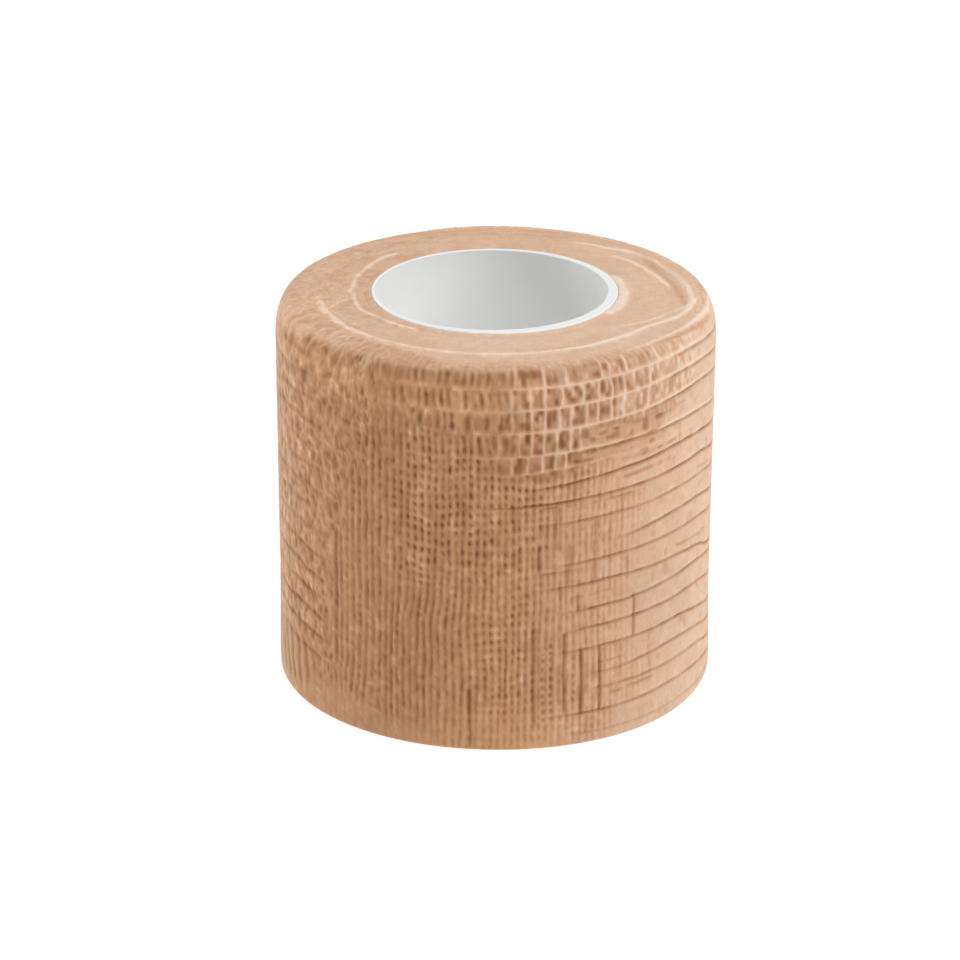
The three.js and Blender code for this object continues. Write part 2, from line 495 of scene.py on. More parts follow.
def faceRelief(azimuth, radius):  # how far the upper end face stands up in mm, and its level of tone
    along = azimuth * degree
    turn = (radius - azimuth / 360 * roll["layer"]) / roll["layer"]
    lines = wave(turn + 0.3 * noise(azimuth / 12, radius, 71)) - 0.5
    rise = endFace["lineHeight"] * lines + 0.03 * noise(azimuth / 14, radius / 1.2, 72)
    level = endFace["tone"] + endFace["lineTone"] * lines + 0.03 * noise(along / 0.8, radius / 0.35, 73)
    level += 0.04 * noise(along / 4, radius / 1.6, 74)
    leftSide = ease(azimuth, -20, -60) * ease(azimuth, -175, -140)
    level -= 0.12 * leftSide * ease(noise(along / 1.8, radius / 1, 75), 0.1, 0.7)
    level += 0.08 * leftSide * noise(along / 0.6, radius / 0.35, 70) * ease(radius, 18, 21)
    level -= 0.12 * ease(np.abs(azimuth), 120, 160) * ease(radius, 22, 25)

    crest = unevenAt(azimuth, "crestRadius") + 0.1 * noise(azimuth / 6, 0, 76)
    near = bell(radius - crest, endFace["crestWidth"])
    # bright: how strong that painted highlight is round the roll, most at the sides where the lights fall and
    # none at the back
    bright = np.interp(azimuth, [-160, -95, -78, -70, -50, -30, 0, 40, 70, 86, 100, 120, 150],
                       [0.0, 0.1, 0.5, 1.3, 1.1, 0.7, 0.8, 1, 1.1, 0.9, 0.6, 0.5, 0.0])
    rise += (roll["crestRise"] - roll["faceRise"]) * near
    level += endFace["crestHighlight"] * near * bright * (1 + 0.35 * noise(along / 1.4, radius / 0.5, 25))
    for ridge in faceRidges:
        azimuths, radii = zip(*ridge["path"])
        reach = window(azimuth, azimuths[0], azimuths[-1], 4)
        near = bell(radius - np.interp(azimuth, azimuths, radii), ridge["width"] * 1.2) * reach
        rise += ridge["height"] * near
        level += 1.5 * ridge["glow"] * near
    return rise, level


def outlineRows():  # the mesh points of the outer turns: out over the face, down the wall and back
    columns = crepe["ribs"] * crepe["columnsPerRib"] + 1
    rib = np.linspace(0, crepe["ribs"], columns)
    plainAzimuth = np.interp(rib, countedRibs, countAzimuths)
    heights = threadHeights(plainAzimuth)
    shoulderTop = roll["width"] - roll["shoulderSag"]
    springLine = shoulderTop - roll["shoulderAxial"]
    face = roll["width"] + roll["faceRise"]
    rows = []  # each: radius or None where the wall's own radius holds, height

    crest = unevenAt(plainAzimuth, "crestRadius")
    edge = outerRadius(plainAzimuth) - roll["shoulderRadial"]
    for step in (-roll["crestInner"], -0.45, -0.33, -0.22, -0.11, 0, 0.11, 0.22, 0.33, 0.45, 0.65):
        rows.append((crest + step, face))
    inner = crest + roll["crestOuter"]
    rows.append((inner, face))
    for part in np.arange(1, 15) / 14:
        rows.append((inner + (edge - inner) * part, face + (shoulderTop - face) * part))
    faceRows = len(rows)

    topAngle = np.arcsin(np.clip((heights[-1] - springLine) / roll["shoulderAxial"], 0, 1))
    edgeSteps = 12
    for step in range(1, edgeSteps + 1):
        angle = np.pi / 2 + (topAngle - np.pi / 2) * step / edgeSteps
        rows.append((None, springLine + roll["shoulderAxial"] * np.sin(angle)))

    parts = np.array([0.05, 0.11, 0.18, 0.27, 0.36, 0.45, 0.54, 0.63, 0.72, 0.8, 0.88, 0.94, 1.0])
    for number in range(len(threads) - 1, 0, -1):
        for part in parts:
            rows.append((None, heights[number] + (heights[number - 1] - heights[number]) * part))
    for part in (0.2, 0.4, 0.6, 0.8, 1):
        rows.append((None, heights[0] + (roll["footAxial"] - heights[0]) * part))

    foot = wallRadius(plainAzimuth, 0 * rib) - roll["footRadial"]
    for angle in (-25, -50, -75, -90):
        low = math.radians(angle)
        rows.append((foot + roll["footRadial"] * math.cos(low), roll["footAxial"] * (1 + math.sin(low))))
    skinRows = len(rows)
    inside = crest - roll["crestInner"]
    for part in np.arange(1, 15) / 14:
        rows.append((foot + (inside - foot) * part, 0))
    for part in (0.33, 0.67):
        rows.append((inside, face * part))
    rows.append((inside, face - hairGap))

    height = np.array([row[1] + 0 * rib for row in rows])
    ribs = np.broadcast_to(rib, height.shape)
    azimuth = ribAzimuths(ribs, height)
    radius = wallRadius(azimuth, height)
    for number, row in enumerate(rows):
        if row[0] is not None:
            radius[number] = row[0]
    return radius, height, azimuth, ribs, heights, faceRows, skinRows


def wallRelief(azimuth, height, run, rib, threadHeight):
    # How high the cloth stands, from 0 on a cell's floor to 1 on a rib; the same level sets its colour,
    # darkened low as painted shade and lightened high as painted light. And how pale it is, from 0 to 1:
    # stretched cloth, with painted sheen and painted light on top. run is the way up along the surface, the
    # same as the height on the wall.
    along = azimuth * degree

    def hills(long, tall, seed):  # noise over the cloth, one hill to so many mm round and up
        return noise(along / long, run / tall, seed)

    count = len(threads)
    distance = height[None] - threadHeight[:, None, :]
    order = np.clip(np.sum(distance > 0, axis=0) - 1, 0, count - 2)
    lower = np.take_along_axis(distance, order[None], 0)[0]
    upper = np.take_along_axis(distance, order[None] + 1, 0)[0]
    band = order + np.clip(lower / (lower - upper), -0.6, 1.6)  # thread number and part of the way on
    bandNumber = np.clip(np.floor(band).astype(int), 0, count)
    fuzz = 0.65 * hills(0.33, 0.45, 40) + 0.35 * hills(1.1, 1.3, 39)

    # Where each kind of surface lies
    rough = 2.2 * hills(5, 4, 41)
    openLine = np.interp(azimuth, [-34, -22, -8, 3, 20, 26, 30, 44, 60, 66],
                         [46, 43.5, 41.5, 36.2, 36.8, 39.4, 42.2, 42.2, 43, 50])
    openGrid = ease(height, openLine - 0.7, openLine + 0.5) * window(azimuth, -26, 60, 7)
    bandLine = np.interp(height, [0, 4, 6, 13, 14, 22, 23, 33, 34, 39, 41, 43, 50],
                         [28, 30, 42, 42, 34, 36, 40, 40, 26, 34, 50, 56, 56])
    bands = ease(azimuth + rough * 0.9, bandLine - 6, bandLine + 6) * ease(azimuth, 128, 100)
    gauze = window(azimuth, 11, bandLine + 4, 4) * ease(height, 3.2, 5) * ease(height, 35, 33)
    crinkleLine = np.interp(height, [0, 9, 26, 32, 38, 44, 50], [-52, -47, -46, -42, -34, -28, -26])
    crinkle = ease(azimuth + rough * 1.8, crinkleLine + 2.5, crinkleLine - 2.5) * ease(azimuth, -150, -125)
    crinkle = np.maximum(crinkle, window(azimuth, 118, 165, 12) * 0.9)
    grains = window(azimuth, -46, -25, 5) * ease(height + rough, 31, 37)
    footLine = np.interp(azimuth, [-70, -50, -32, -22, -15, -5, 25, 40, 50],
                         [2.0, 4.4, 4.2, 2.9, 1.2, 0.7, 1.2, 2.6, 3.6])
    foot = ease(height + rough * 0.4, footLine + 1.2, footLine - 1.2)

    # Long ribs with thin gaps, darkened as painted shade, which are broken into dashes
    ribWave = wave(rib)
    gap = np.floor(rib).astype(int)
    ribNumber = np.round(rib).astype(int)
    chance = np.random.default_rng(43)
    ribLight = 0.87 + 0.09 * noise(ribNumber * 5.3, run / 0.6, 44)
    ribLight += 0.07 * noise(ribNumber * 3.1, run / 1.8, 33)
    gapDeep = 0.66 + 0.42 * noise(gap * 3.7, run / 0.6, 45) + 0.3 * noise(gap * 7.1, run / 2.2, 46)
    notch = (1 - ribWave) ** 1.4
    gapDeep = np.clip(gapDeep, 0.1, 1.1) * np.interp(azimuth, [-45, -12], [0.84, 1])
    ribs = ribLight - crepe["gapDark"] * notch * gapDeep + 0.09 * fuzz

    # Dense net: short bridges cross the gaps, so that they are rows of dots darkened as painted shade
    bridgePhase = run / crepe["bridgePitch"] + 0.5 * noise(rib / 5, run / 5, 47)
    bridgePhase += 0.18 * noise(gap * 2.3, run / 3, 48)
    dotDark = chance.uniform(0.3, 1, (crepe["ribs"] + 2, 64))[gap, np.round(bridgePhase + 0.5).astype(int)]
    patchy = 0.8 + 0.28 * hills(3.2, 2.6, 42)
    bridge = wave(bridgePhase, 0.8) * (patchy + 0.35 * noise(gap * 2.9, run / 1.4, 49))
    mainRib = chance.uniform(-0.07, 0.05, crepe["ribs"] + 2)[ribNumber]
    between = np.clip(1 - bridge, 0, 1)
    dense = ribLight + mainRib - crepe["netDark"] * notch * dotDark * between + 0.12 * fuzz
    dense += 0.07 * bridge * (ribWave - 0.4) + 0.04 * hills(2.1, 1.6, 29)

    # Open grid: light main threads, cells darkened as painted shade of the layers under them, and weaker ribs
    # inside the cells
    cellChance = chance.uniform(0, 1, (crepe["ribs"] + 2, count + 2))
    weak = cellChance[ribNumber, bandNumber]
    weak = weak * np.interp(azimuth, [-30, 0, 8, 40, 60], [0.9, 0.8, 0.45, 0.4, 0.15]) * ribWave ** 1.2
    openFloor = np.interp(azimuth, [-30, -10, 5, 32, 38, 44, 54, 60],
                          [0.46, 0.38, 0.36, 0.36, 0.5, 0.58, 0.68, 0.8])
    openFloor += 0.09 * ease(band, 14.4, 15.6) - 0.09 * ease(band, 15.4, 13.8)
    clumps = np.interp(azimuth, [-30, 32, 50], [0.5, 0.5, 0.25])
    opened = openFloor + clumps * hills(0.5, 0.9, 50) + 0.12 * fuzz
    opened = blend(opened, 0.82, weak)
    # On the left coarse ribs cross the cells, out of step from row to row
    wide = rib * 0.86 + 0.37 * bandNumber + 0.3 * noise(rib / 3.3, run / 1.9, 28)
    wideGap = np.floor(wide).astype(int) % crepe["ribs"]
    cellDash = chance.uniform(0.1, 1.1, (crepe["ribs"], count + 2))[wideGap, bandNumber]
    cellDash = np.clip(cellDash + 0.4 * noise(wideGap * 4.7, run / 0.8, 37), 0.05, 1.1)
    cellDash = cellDash * (1 - 0.9 * bell(np.minimum(np.abs(lower), np.abs(upper)), 0.42))  # none on a thread
    finer = 0.84 - 0.74 * (1 - wave(wide)) ** 1.3 * cellDash + 0.14 * noise(wideGap * 2.9, run / 0.8, 32)
    finer += 0.14 * fuzz - 0.2 * ease(hills(1.1, 0.9, 27), 0.2, 0.8)
    opened = blend(opened, finer, np.interp(azimuth, [-3, 7], [0.95, 0]))
    for row in gridRows:
        inRow = bandNumber == row["over"]
        for place in row["azimuths"]:
            aside = (azimuth - place) * degree + 0.12 * noise(height / 1.5, place, 51)
            strong = crepe["gridThread"] * np.interp(place, [-15, 0, 10], [0.4, 0.7, 1])
            opened = blend(opened, 1, strong * bell(aside, crepe["threadWidth"]) * inRow)

    # Crinkled: long pits, darkened as painted shade, that lean one way or the other
    lean = -0.14 * np.clip(run - 38, 0, 12) * window(azimuth, -54, -32, 13)
    lean += 0.16 * np.clip(run - 36, -9, 9) * window(azimuth, -94, -74, 13)
    across = np.interp(azimuth, countAzimuths, countedPits) + lean + 0.35 * hills(2, 2.4, 52)
    upward = run / crepe["pitTall"] + 0.4 * hills(1.8, 2, 53)
    deepPits = pits(across, upward, 54)
    smallPits = pits(across * 1.7 + 40, upward * 1.8, 55)
    crinkled = 0.95 - crepe["pitDark"] * deepPits - 0.4 * smallPits + 0.16 * fuzz
    crinkled += 0.07 * hills(3.5, 3, 56)
    grained = ribLight - 0.72 * notch * gapDeep - 0.4 * deepPits + 0.12 * fuzz

    # Stretched smooth: shallow pillows between the grooves
    smooth = crepe["smoothTone"] + 0.03 * (wave(band - 0.5) + hills(2.2, 1.4, 57) + fuzz)
    smooth -= 0.12 * ease(hills(1.2, 1, 58), 0.5, 0.9)
    netFade = np.interp(azimuth, [8, 18, 32, 46], [0.75, 0.55, 0.32, 0.15])
    dash = np.clip(0.55 + 0.6 * noise(gap * 4.1, run / 1.1, 59), 0, 1)
    gauzed = smooth - netFade * notch * dash * (0.55 + 0.45 * between) + 0.05 * fuzz

    # Wide splayed ribs low on the left
    splay = (azimuth + 0.5 * (height - 5)) * degree / 2.0 + 0.3 * hills(3, 2.5, 34)
    splayed = 0.88 - 0.6 * wave(splay, 1.6) + 0.08 * fuzz

    # Each kind of surface is laid over the ones before it
    level = ribs
    for surface, shown in (
        (dense, window(azimuth, -26, 22, 8) * ease(height + rough, 18, 27)),
        (dense, 0.7 * window(azimuth, -5, 24, 4) * ease(height, 24, 19)),
        (grained, grains * 0.85),
        (crinkled, crinkle),
        (splayed, window(azimuth, -76, -54, 5) * window(height, 1.8, 9, 1.2)),
        (gauzed, gauze * 0.9),
        (smooth, bands),
    ):
        level = blend(level, surface, shown)
    level = np.minimum(level, 0.9 + (level - 0.9) * 0.5)
    level = blend(level, opened, openGrid)
    mottle = window(azimuth, 22, 48, 3) * window(height, 37.5, 42.2, 0.8)
    blotch = 0.75 - 0.5 * ease(hills(1.1, 0.7, 60), 0, 0.5) + 0.08 * fuzz
    level = blend(level, blotch, mottle * 0.85)
    # The foot: quiet cloth set high so that it is light, and at the front lighter and flatter still: painted
    # light, for the light that the floor throws up there
    quiet = 0.88 + 0.05 * hills(0.7, 2.5, 61) + 0.08 * fuzz
    level = blend(level, quiet, foot * 0.8)
    level = blend(level, 0.9, 0.42 * window(azimuth, -22, 22, 8) * ease(height, 8, 2))

    # Threads: light ridges in the open grid, grooves on the right and soft folds on the left, both darkened
    # as painted shade with a painted highlight above
    ridgeWhere = np.interp(azimuth, [-32, -20, -4, 6, 12, 60, 72], [0, 0.4, 0.6, 0.8, 1, 1, 0.5])
    ridgeWhere = ridgeWhere * (1 - ease(azimuth, 8, -4) * ease(hills(1.3, 0.9, 26), 0.05, 0.6))
    grooveEnd = ease(azimuth, 118, 80) * 0.6 + 0.4 * ease(azimuth, 140, 110)
    foldWhere = window(azimuth, -78, -51, 5) + 0.35 * window(azimuth, -140, -80, 8)
    broken = 0.85 + 0.35 * noise(along / 1.6, height * 0.3, 62)
    below = 0.42  # mm, where a groove lies under a thread that stands up
    for number, thread in enumerate(threads):
        near = distance[number]
        ridge = thread["ridge"] * bell(near, crepe["threadWidth"]) * ridgeWhere
        level = blend(level, 0.96, ridge)
        offset = below if thread["ridge"] > 0.8 else 0
        fromHere = ease(azimuth, thread["from"] - 4, thread["from"] + 10)
        dashes = 1 - (1 - fromHere) * ease(noise(along / 0.8, number * 5.1, 38), -0.3, 0.3)
        shown = thread["groove"] * fromHere * grooveEnd
        groove = shown * bell(near + offset, crepe["grooveWidth"]) * broken * dashes
        level -= crepe["grooveDark"] * groove
        level += 0.05 * shown * bell(near + offset - below, 0.25)
        fold = thread["fold"] * foldWhere * (0.8 + 0.6 * noise(along / 2, number * 3.3, 36))
        bent = near + 0.35 * noise(along / 2.5, number * 2.1, 35)
        level += fold * (0.06 * bell(bent - 0.75, 0.5) - crepe["foldDark"] * bell(bent, 0.28))

    for line in shortGrooves:
        ends = [line["from"], line["to"]]
        near = height - np.interp(azimuth, ends, [line["heightFrom"], line["heightTo"]])
        dashes = 1 - line["broken"] * ease(noise(along / 0.9, line["from"], 63), -0.2, 0.3)
        reach = window(azimuth, *ends, 1)
        level -= 0.7 * line["depth"] * bell(near, crepe["grooveWidth"]) * dashes * reach

    for crease in creases:
        aside = (azimuth - crease["azimuth"]) * degree
        aside += 0.12 * noise(height / 2.5, crease["azimuth"], 64)
        dots = 1 - crease["dots"] * wave(height / 1.15 + 0.3 * noise(height / 2, 0, 65))
        reach = window(height, crease["low"], crease["high"], 0.4)
        level -= 0.7 * crease["depth"] * bell(aside, crease["width"]) * dots * reach

    for dent in dents:
        aside = (azimuth - dent["azimuth"]) * degree - 0.25 * (height - dent["height"])
        near = bell(aside, dent["across"]) * bell(height - dent["height"], dent["tall"])
        level -= dent["depth"] * near * (0.8 + 0.4 * fuzz)

    # How pale, by azimuth: painted sheen at the left outline, and painted light over the right side where the
    # key light falls, on top of the paler stretched cloth there
    paleAndSheen = np.interp(azimuth, [-150, -95, -84, -74, -60, 5, 20, 45, 60, 75, 120, 165],
                     [0.2, 0.65, 0.6, 0.4, 0, 0, 0.27, 0.6, 0.74, 0.8, 0.7, 0.2])
    paleAndSheen += 0.4 * openGrid * ease(azimuth, -8, 12) * ease(level, 0.35, 0.8) * (1 - paleAndSheen)
    return np.clip(level, 0, 1.08), paleAndSheen


def areaToneAndPaintedLight(azimuth, height):  # a factor on the colour, 1 for the usual tone, raised at the front foot as painted light
    tone = np.ones_like(azimuth)
    for area in lighterAreas:
        inside = window(azimuth, area["from"], area["to"], 7)
        tone += area["lighter"] * inside * window(height, area["low"], area["high"], area["soft"])
    return tone


def faceSheenAndLight(azimuth):  # painted sheen and light on the upper end face: palest at the front and right, where the lights fall
    return np.interp(azimuth, [-180, -120, -60, -25, 10, 60, 100, 150, 180],
                     [0.75, 0.7, 0.7, 0.92, 1, 1, 0.95, 0.8, 0.75])


def shoulderBlend(level, paleAndSheen, height, run, radius, azimuth, rib):
    # Over the rounded edge the crepe turns smooth and pale; the pale is painted sheen and light, like the end
    # face's, and reaches furthest down on the right
    along = azimuth * degree
    plain = 0.81 + 0.12 * noise(along / 0.5, run / 0.45, 66) + 0.05 * noise(along / 2, run, 67)
    plain += 0.07 * (wave(rib) - 0.5)
    start = np.interp(azimuth, [-80, -68, -63, -55, -45, -32, -25, -14, 6, 23, 31, 47, 60, 80, 100],
                      [48, 48.6, 49.1, 49.7, 49.8, 49.6, 49.5, 49.62,
                       49.72, 49.8, 49.84, 49.84, 49.7, 49.2, 48.5])
    start += 0.12 * noise(rib / 1.2, 0, 68)
    most = np.interp(azimuth, [-95, -80, -70, -30, -12, 50], [1, 0.7, 0.45, 0.55, 1, 1])  # less at the left
    soft = np.interp(azimuth, [-20, 6, 30, 45], [0.45, 0.25, 0.25, 0.45])
    over = ease(height, start - soft, start + 0.12) * most
    level = blend(level, plain, over)
    shade = np.interp(azimuth, [-60, -20, 30, 60], [0.64, 0.47, 0.6, 1])
    reach = 0.7 + 2.6 * window(azimuth, 18, 64, 8)
    paleAndSheen = blend(paleAndSheen, shade, ease(height, start - reach, start + 0.15))

    # The last light thread, on the top of the edge at the right, with a groove outside it darkened as painted
    # shade
    aside = radius - np.interp(azimuth, [37, 52, 61, 66, 74, 82], [25.1, 25.25, 25.6, 25.8, 26.1, 26.5])
    high = ease(height, 48.6, 49)
    level = blend(level, 1.02, bell(aside, 0.3) * window(azimuth, 38, 90, 3) * high * 0.9)
    level -= 0.3 * bell(aside - 0.6, 0.22) * window(azimuth, 52, 84, 4) * high
    return level, paleAndSheen


def pointNormals(points, closeColumns):  # of a grid of points whose rows close on themselves
    down = np.roll(points, -1, axis=0) - np.roll(points, 1, axis=0)
    if closeColumns:
        across = np.roll(points, -1, axis=1) - np.roll(points, 1, axis=1)
    else:
        across = np.gradient(points, axis=1)
    normal = np.cross(down, across)
    return normal / np.maximum(np.linalg.norm(normal, axis=2, keepdims=True), 1e-12)


def gridMesh(name, material, points, uv, fields, normals, inner=None):
    # A closed skin over a grid of points in mm. The rows close on themselves, and the columns too unless
    # there are inner points, a little under the skin, that each end face goes straight in to before it
    # crosses to the middle. fields are named values for the material.
    rows, columns = points.shape[:2]
    closeColumns = inner is None
    lastColumn = columns if closeColumns else columns - 1
    i, j = np.meshgrid(np.arange(rows), np.arange(lastColumn), indexing="ij")
    nextRow = (i + 1) % rows
    nextColumn = (j + 1) % columns
    here = i * columns
    there = nextRow * columns
    quads = np.stack([here + j, there + j, there + nextColumn, here + nextColumn], -1).reshape(-1, 4)
    place = axisPlace * (1, 1, 0)
    vertices = (points.reshape(-1, 3) + place) * mm
    uvPoint = np.stack(np.broadcast_arrays(uv[0], uv[1]), -1)
    uvNext = uvPoint.copy()
    if closeColumns:
        uvNext[:, 0, 0] = uv[2]  # the first column again, one turn on
    corners = [uvPoint[i, j], uvPoint[nextRow, j], uvNext[nextRow, nextColumn], uvNext[i, nextColumn]]
    loopUv = np.stack(corners, 2).reshape(-1, 2)
    loopNormal = normals.reshape(-1, 3)[quads.ravel()]
    starts = np.arange(len(quads)) * 4
    loops = quads.ravel()
    values = {key: field.ravel() for key, field in fields.items()}

    if not closeColumns:
        ends = []
        for column in (0, columns - 1):
            rim = np.arange(rows) * columns + column
            inside = len(vertices) + np.arange(rows)
            centre = np.full(rows, len(vertices) + rows)
            innerPlace = (inner[:, column] + place) * mm
            vertices = np.vstack([vertices, innerPlace, innerPlace.mean(axis=0)])
            values = {key: np.append(field, np.full(rows + 1, hiddenTone)) for key, field in values.items()}
            rimAfter = np.roll(rim, -1)
            insideAfter = np.roll(inside, -1)
            sides = ((rim, inside, rimAfter), (rimAfter, inside, insideAfter), (inside, centre, insideAfter))
            for side in sides:
                triangles = np.stack(side, -1)
                ends.append(triangles if column == 0 else triangles[:, ::-1])
        fans = np.vstack(ends)
        first, second, third = (vertices[fans[:, corner]] for corner in range(3))
        flat = np.cross(second - first, third - first)
        flat /= np.maximum(np.linalg.norm(flat, axis=1, keepdims=True), 1e-15)
        starts = np.append(starts, len(loops) + np.arange(len(fans)) * 3)
        loops = np.append(loops, fans.ravel())
        loopUv = np.vstack([loopUv, np.zeros((fans.size, 2))])
        loopNormal = np.vstack([loopNormal, np.repeat(flat, 3, axis=0)])

    mesh = bpy.data.meshes.new(name)
    mesh.vertices.add(len(vertices))
    mesh.vertices.foreach_set("co", vertices.astype(np.float32).ravel())
    mesh.loops.add(len(loops))
    mesh.loops.foreach_set("vertex_index", loops.astype(np.int32))
    mesh.polygons.add(len(starts))
    mesh.polygons.foreach_set("loop_start", starts.astype(np.int32))
    mesh.update(calc_edges=True)
    layer = mesh.uv_layers.new(name="strip")
    layer.data.foreach_set("uv", (loopUv / 100).astype(np.float32).ravel())
    for key, field in values.items():
        attribute = mesh.attributes.new(key, "FLOAT", "POINT")
        attribute.data.foreach_set("value", field.astype(np.float32))
    mesh.polygons.foreach_set("use_smooth", np.ones(len(starts), dtype=bool))
    mesh.normals_split_custom_set(loopNormal.astype(np.float32))
    mesh.validate(clean_customdata=False)
    piece = bpy.data.objects.new(name, mesh)
    mesh.materials.append(material)
    bpy.context.scene.collection.objects.link(piece)
    print(name, "made,", len(mesh.polygons), "faces")
    return piece


def aroundAxis(radius, height, azimuth):
    angle = np.radians(azimuth)
    return np.stack([radius * np.sin(angle), -radius * np.cos(angle), height + 0 * angle], -1)


def lengthDown(points):  # from the first row to each point, along its column
    steps = np.linalg.norm(np.diff(points, axis=0), axis=2)
    return np.vstack([np.zeros(points.shape[1]), np.cumsum(steps, axis=0)])


def makeOuterTurns(material):
    radius, height, azimuth, rib, threadHeight, faceRows, skinRows = outlineRows()
    down = lengthDown(aroundAxis(radius, height, azimuth))
    midWall = (height > 10) & (height < 40) & (np.arange(len(height))[:, None] < skinRows)
    run = np.sum((height + down) * midWall, axis=0) / np.sum(midWall, axis=0) - down
    level, paleAndSheen = wallRelief(azimuth, height, run, rib, threadHeight)
    toneAndPaintedLight = areaToneAndPaintedLight(azimuth, height)
    level, paleAndSheen = shoulderBlend(level, paleAndSheen, height, run, radius, azimuth, rib)
    rise, faceLevel = faceRelief(azimuth[:faceRows], radius[:faceRows])
    # From the last face row on, which comes early at the left, the face turns into the shoulder
    early = np.interp(azimuth[:faceRows], [-95, -78, -30, -10], [0, 1, 1, 0])
    lastFaceRow = 16 - 7 * early
    fade = np.clip((np.arange(faceRows)[:, None] - lastFaceRow) / (8 - 4 * early), 0, 1)
    level[:faceRows] = blend(faceLevel, level[:faceRows], fade)
    paleAndSheen[:faceRows] = blend(faceSheenAndLight(azimuth[:faceRows]), paleAndSheen[:faceRows], fade)
    height[:faceRows] += rise * (1 - fade)
    height[-1] = height[0] - hairGap
    level[skinRows:] = hiddenTone
    paleAndSheen[skinRows:] = hiddenTone

    shallow = np.interp(azimuth, [-165, -145, -48, -38], [1, crepe["crinkleDepth"], crepe["crinkleDepth"], 1])
    relief = (level - crepe["middle"]) * crepe["depth"] * shallow
    relief[:faceRows] *= fade
    relief[skinRows:] = 0
    relief[:skinRows] *= np.clip((height[:skinRows] - 0.1) / 1.2, 0, 1)  # none where it stands
    base = aroundAxis(radius, height, azimuth)
    normal = pointNormals(base, False)
    points = base + normal * relief[..., None]
    points[..., 2] = np.maximum(points[..., 2], 0)
    shading = pointNormals(points, False)

    along = azimuth * degree
    down = lengthDown(base)
    cutRibs = np.interp(crepe["cuts"], countAzimuths, countedRibs).round().astype(int)
    cuts = [0, *cutRibs * crepe["columnsPerRib"], base.shape[1] - 1]
    names = ("outer_turns_left", "outer_turns_front", "outer_turns_right")
    for name, start, end in zip(names, cuts, cuts[1:]):
        part = np.s_[:, start:end + 1]
        fields = {"relief": level[part], "paleAndSheen": paleAndSheen[part], "toneAndPaintedLight": toneAndPaintedLight[part]}
        inner = base[part] - crepe["endInset"] * normal[part]
        uv = (along[part], down[part])
        piece = gridMesh(name, material, points[part], uv, fields, shading[part], inner)
        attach(piece, "root")
        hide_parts("bandage_roll")


# The inner turns show at the two end faces. The core draws their innermost edge up a little.
innerTurns = {
    "columns": 720,
    "topStep": 0.11,
    "undersideStep": 0.22,
    "clear": 0.04,  # from the core
    "lipRise": 0.3,
    "edgeBroken": (0.04, 0.06),  # aside and down
    "lowEdge": 0.1,  # rounding of both edges of the underside
    "lowLines": 0.03,  # depth of the turn lines there
    "lipSlope": 0.9,  # mm over which the face rises to it
}


def makeInnerTurns(material):
    azimuth = np.arange(innerTurns["columns"]) * 360 / innerTurns["columns"] - 180
    first = coreRadius + innerTurns["clear"]
    outside = unevenAt(azimuth, "crestRadius") - roll["crestInner"] - hairGap
    face = roll["width"] + roll["faceRise"]
    topRows = round((outside.mean() - first) / innerTurns["topStep"])
    lowRows = round((outside.mean() - first) / innerTurns["undersideStep"])
    along = azimuth * degree

    aside, drop = innerTurns["edgeBroken"]
    edge = first + aside
    rows = [(first, face + innerTurns["lipRise"] - drop, 0.9)]  # radius, height and level of each
    for row in range(topRows + 1):
        radius = edge + (outside - edge) * row / topRows
        rise, level = faceRelief(azimuth, radius)
        near = ease(radius, first + innerTurns["lipSlope"], first)
        # painted light: the cloth is made lighter where it rises to the lip at the core
        rows.append((radius, face + blend(rise, innerTurns["lipRise"], near), level + 0.08 * near))
    rows.append((outside, rows[-1][1] - hairGap, hiddenTone))
    for part in (0.67, 0.33):
        rows.append((outside, face * part, hiddenTone))
    for row in range(lowRows + 1):
        radius = outside + (first - outside) * row / lowRows
        rounded = innerTurns["lowEdge"] * (bell(row, 1) + bell(row - lowRows, 1))
        turn = (radius - azimuth / 360 * roll["layer"]) / roll["layer"]
        lines = innerTurns["lowLines"] * (1 - wave(turn))
        rows.append((radius, rounded + lines, hiddenTone + 0.06 * wave(turn)))
    for part in (0.33, 0.67):
        rows.append((first, face * part, hiddenTone))
    rows.append((first, rows[0][1] - 0.03, hiddenTone))

    radius, height, level = (np.array([value + 0 * azimuth for value in column]) for column in zip(*rows))
    points = aroundAxis(radius, height, azimuth)
    uv = (along, lengthDown(points), along[0] + 360 * degree)
    fields = {"relief": level, "paleAndSheen": faceSheenAndLight(azimuth) + 0 * radius, "toneAndPaintedLight": np.ones_like(radius)}
    piece = gridMesh("inner_turns", material, points, uv, fields, pointNormals(points, True))
    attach(piece, "root")
    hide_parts("bandage_roll")


# The core: a moulded tube with softly rounded rims. Its bore is a little off centre, so the rim shows
# thin at the left and back, and wide at the right and front.
coreTube = {"wall": 0.9, "boreAside": (-0.42, 0.33), "rim": 0.16, "rimSteps": 4, "columns": 256}


